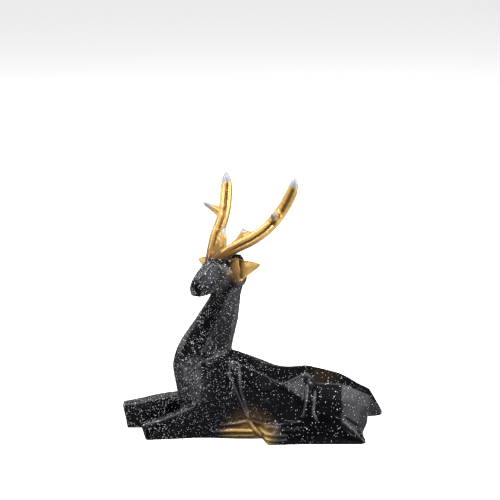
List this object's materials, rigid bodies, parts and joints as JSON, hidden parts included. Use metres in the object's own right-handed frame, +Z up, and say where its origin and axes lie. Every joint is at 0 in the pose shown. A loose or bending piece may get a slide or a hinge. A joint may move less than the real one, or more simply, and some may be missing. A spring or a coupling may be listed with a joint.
{
  "type": "recumbent stag statue",
  "caption": "Faceted figurine of a resting stag with its head turned and grooved antlers raised, black with pale flecks and gold accents, flat underneath to stand by its own weight.",
  "frame": {"origin": "middle of the footprint at the flat underside", "axes": "+Z up, the animal faces -X, its left side, the side shown in the picture, is -Y"},
  "size_m": [0.1554, 0.071, 0.153],
  "materials": {
    "painted_casting": "satin black paint with fine white flecks, airbrushed metallic gold on antlers, ears and hooves, silver antler tips"
  },
  "bodies": {
    "root": {"stag": "painted_casting"}
  },
  "joints": []
}
